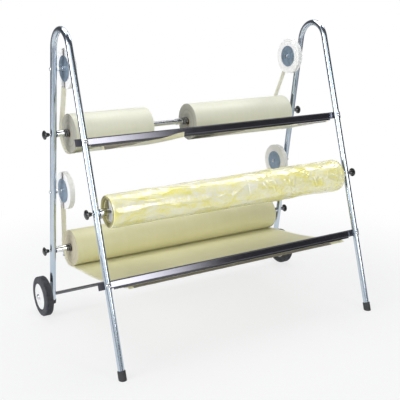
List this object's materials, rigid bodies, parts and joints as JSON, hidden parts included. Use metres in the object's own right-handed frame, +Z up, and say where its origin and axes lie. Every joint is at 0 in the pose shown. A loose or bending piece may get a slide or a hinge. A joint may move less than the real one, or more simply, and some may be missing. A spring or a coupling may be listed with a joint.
{
  "type": "masking paper dispenser",
  "caption": "Free-standing shop dispenser: leaning tube frames on feet and wheels hold rods of masking paper and film, tape reels that edge the sheets, and cutter rails to tear them on.",
  "frame": {"origin": "on the floor, at the middle of the object's length and depth", "axes": "+X along the rolls to the user's right, -Y towards the user at the front feet, +Z up"},
  "size_m": [1.1768, 0.701, 1.0859],
  "materials": {
    "zinc": "zinc plated tube",
    "black_rubber": "matt",
    "tyre": "semi-pneumatic",
    "white_hub": "moulded",
    "dark_steel": "dull",
    "bright_steel": "zinc plated",
    "rod_steel": "zinc plated",
    "black_rail": "gloss black",
    "black_blade": "black",
    "chrome": "bright plated",
    "black_screw": "blackened",
    "black_spring": "blackened",
    "knob_black": "moulded",
    "paper": "kraft masking paper, solid winding",
    "card": "spiral card tube",
    "paper_web": "single sheet of masking paper",
    "film": "thin wrinkled film",
    "white_adapter": "moulded",
    "tape": "crepe tape",
    "tape_web": "crepe tape",
    "hub_blue": "blue-grey",
    "bronze": "bronze strip"
  },
  "bodies": {
    "root": {"left_front_leg": "zinc", "right_front_leg": "zinc", "left_rear_leg": "zinc", "right_rear_leg": "zinc", "front_feet": "black_rubber", "rear_leg_caps": "black_rubber", "axle": "dark_steel", "axle_push_nuts": "bright_steel", "wheel_spacers": "bright_steel", "upper_cutter_rail": "black_rail", "lower_cutter_rail": "black_rail", "cutter_blades": "black_blade", "rail_bolts": "bright_steel", "hex_nuts": "bright_steel", "upper_spindle": "rod_steel", "lower_spindle": "rod_steel", "film_spindle": "rod_steel", "spindle_plugs": "bright_steel", "end_collars": "chrome", "collar_screws": "black_screw", "end_springs": "black_spring", "tape_hubs": "hub_blue", "tape_hub_plates": "hub_blue", "tape_drag_strips": "bronze", "tape_bolts": "bright_steel", "upper_left_web": "paper_web", "upper_right_web": "paper_web", "lower_web": "paper_web", "tape_strips": "tape_web"},
    "left_wheel": {"left_tyre": "tyre", "left_wheel_hub": "white_hub"},
    "right_wheel": {"right_tyre": "tyre", "right_wheel_hub": "white_hub"},
    "upper_left_paper": {"upper_left_paper_roll": "paper", "upper_left_paper_core": "card"},
    "upper_right_paper": {"upper_right_paper_roll": "paper", "upper_right_paper_core": "card"},
    "lower_paper": {"lower_paper_roll": "paper", "lower_paper_core": "card"},
    "film": {"film_roll": "film", "film_core": "card", "film_adapters": "white_adapter"},
    "upper_left_tape_roll": {"upper_left_tape": "tape"},
    "upper_right_tape_roll": {"upper_right_tape": "tape"},
    "lower_left_tape_roll": {"lower_left_tape": "tape"},
    "lower_right_tape_roll": {"lower_right_tape": "tape"},
    "middle_collar": {"middle_collar": "chrome", "middle_spring": "black_spring"},
    "upper_left_knob_stud": {"upper_left_knob_stud": "bright_steel"},
    "upper_left_knob_head": {"upper_left_knob_head": "knob_black"},
    "upper_right_knob_stud": {"upper_right_knob_stud": "bright_steel"},
    "upper_right_knob_head": {"upper_right_knob_head": "knob_black"},
    "lower_left_knob_stud": {"lower_left_knob_stud": "bright_steel"},
    "lower_left_knob_head": {"lower_left_knob_head": "knob_black"},
    "lower_right_knob_stud": {"lower_right_knob_stud": "bright_steel"},
    "lower_right_knob_head": {"lower_right_knob_head": "knob_black"},
    "film_left_knob_stud": {"film_left_knob_stud": "bright_steel"},
    "film_left_knob_head": {"film_left_knob_head": "knob_black"},
    "film_right_knob_stud": {"film_right_knob_stud": "bright_steel"},
    "film_right_knob_head": {"film_right_knob_head": "knob_black"}
  },
  "joints": [
    {"name": "left_wheel_spin", "type": "hinge", "parent": "root", "child": "left_wheel", "pos_m": [-0.5631, 0.2745, 0.076], "axis": [1, 0, 0], "continuous": true},
    {"name": "right_wheel_spin", "type": "hinge", "parent": "root", "child": "right_wheel", "pos_m": [0.5631, 0.2745, 0.076], "axis": [1, 0, 0], "continuous": true},
    {"name": "upper_left_paper_spin", "type": "hinge", "parent": "root", "child": "upper_left_paper", "pos_m": [-0.3145, 0.1758, 0.70832], "axis": [1, 0, 0], "continuous": true},
    {"name": "upper_right_paper_spin", "type": "hinge", "parent": "root", "child": "upper_right_paper", "pos_m": [0.2465, 0.1758, 0.70832], "axis": [1, 0, 0], "continuous": true},
    {"name": "lower_paper_spin", "type": "hinge", "parent": "root", "child": "lower_paper", "pos_m": [0, 0.24561, 0.25883], "axis": [1, 0, 0], "continuous": true},
    {"name": "film_spin", "type": "hinge", "parent": "root", "child": "film", "pos_m": [0, -0.17391, 0.512], "axis": [1, 0, 0], "continuous": true},
    {"name": "upper_left_tape_spin", "type": "hinge", "parent": "root", "child": "upper_left_tape_roll", "pos_m": [-0.47755, 0.1403, 0.94], "axis": [1, 0, 0], "continuous": true},
    {"name": "upper_right_tape_spin", "type": "hinge", "parent": "root", "child": "upper_right_tape_roll", "pos_m": [0.47755, 0.1403, 0.94], "axis": [1, 0, 0], "continuous": true},
    {"name": "lower_left_tape_spin", "type": "hinge", "parent": "root", "child": "lower_left_tape_roll", "pos_m": [-0.47755, 0.20942, 0.495], "axis": [1, 0, 0], "continuous": true},
    {"name": "lower_right_tape_spin", "type": "hinge", "parent": "root", "child": "lower_right_tape_roll", "pos_m": [0.47755, 0.20942, 0.495], "axis": [1, 0, 0], "continuous": true},
    {"name": "middle_collar_slide", "type": "slide", "parent": "root", "child": "middle_collar", "axis": [1, 0, 0], "range_m": [-0.128, 0]},
    {"name": "upper_left_knob_travel", "type": "slide", "parent": "root", "child": "upper_left_knob_stud", "axis": [-1, 0, 0], "range_m": [-0.00375, 0.00625]},
    {"name": "upper_left_knob_turn", "type": "hinge", "parent": "upper_left_knob_stud", "child": "upper_left_knob_head", "pos_m": [-0.5406, 0.1758, 0.7115], "axis": [-1, 0, 0], "range_deg": [-1095, 1815]},
    {"name": "upper_right_knob_travel", "type": "slide", "parent": "root", "child": "upper_right_knob_stud", "axis": [1, 0, 0], "range_m": [-0.00375, 0.00625]},
    {"name": "upper_right_knob_turn", "type": "hinge", "parent": "upper_right_knob_stud", "child": "upper_right_knob_head", "pos_m": [0.5406, 0.1758, 0.7115], "axis": [1, 0, 0], "range_deg": [-1095, 1815]},
    {"name": "lower_left_knob_travel", "type": "slide", "parent": "root", "child": "lower_left_knob_stud", "axis": [-1, 0, 0], "range_m": [-0.00375, 0.00625]},
    {"name": "lower_left_knob_turn", "type": "hinge", "parent": "lower_left_knob_stud", "child": "lower_left_knob_head", "pos_m": [-0.5406, 0.24561, 0.262], "axis": [-1, 0, 0], "range_deg": [-1095, 1815]},
    {"name": "lower_right_knob_travel", "type": "slide", "parent": "root", "child": "lower_right_knob_stud", "axis": [1, 0, 0], "range_m": [-0.00375, 0.00625]},
    {"name": "lower_right_knob_turn", "type": "hinge", "parent": "lower_right_knob_stud", "child": "lower_right_knob_head", "pos_m": [0.5406, 0.24561, 0.262], "axis": [1, 0, 0], "range_deg": [-1095, 1815]},
    {"name": "film_left_knob_travel", "type": "slide", "parent": "root", "child": "film_left_knob_stud", "axis": [-1, 0, 0], "range_m": [-0.00375, 0.00625]},
    {"name": "film_left_knob_turn", "type": "hinge", "parent": "film_left_knob_stud", "child": "film_left_knob_head", "pos_m": [-0.5406, -0.17391, 0.512], "axis": [-1, 0, 0], "range_deg": [-1095, 1815]},
    {"name": "film_right_knob_travel", "type": "slide", "parent": "root", "child": "film_right_knob_stud", "axis": [1, 0, 0], "range_m": [-0.00375, 0.00625]},
    {"name": "film_right_knob_turn", "type": "hinge", "parent": "film_right_knob_stud", "child": "film_right_knob_head", "pos_m": [0.5406, -0.17391, 0.512], "axis": [1, 0, 0], "range_deg": [-1095, 1815]}
  ],
  "couplings": [
    {"joint": "upper_left_knob_turn", "follows": "upper_left_knob_travel", "rad_per_m": 5026.5},
    {"joint": "upper_right_knob_turn", "follows": "upper_right_knob_travel", "rad_per_m": 5026.5},
    {"joint": "lower_left_knob_turn", "follows": "lower_left_knob_travel", "rad_per_m": 5026.5},
    {"joint": "lower_right_knob_turn", "follows": "lower_right_knob_travel", "rad_per_m": 5026.5},
    {"joint": "film_left_knob_turn", "follows": "film_left_knob_travel", "rad_per_m": 5026.5},
    {"joint": "film_right_knob_turn", "follows": "film_right_knob_travel", "rad_per_m": 5026.5}
  ]
}
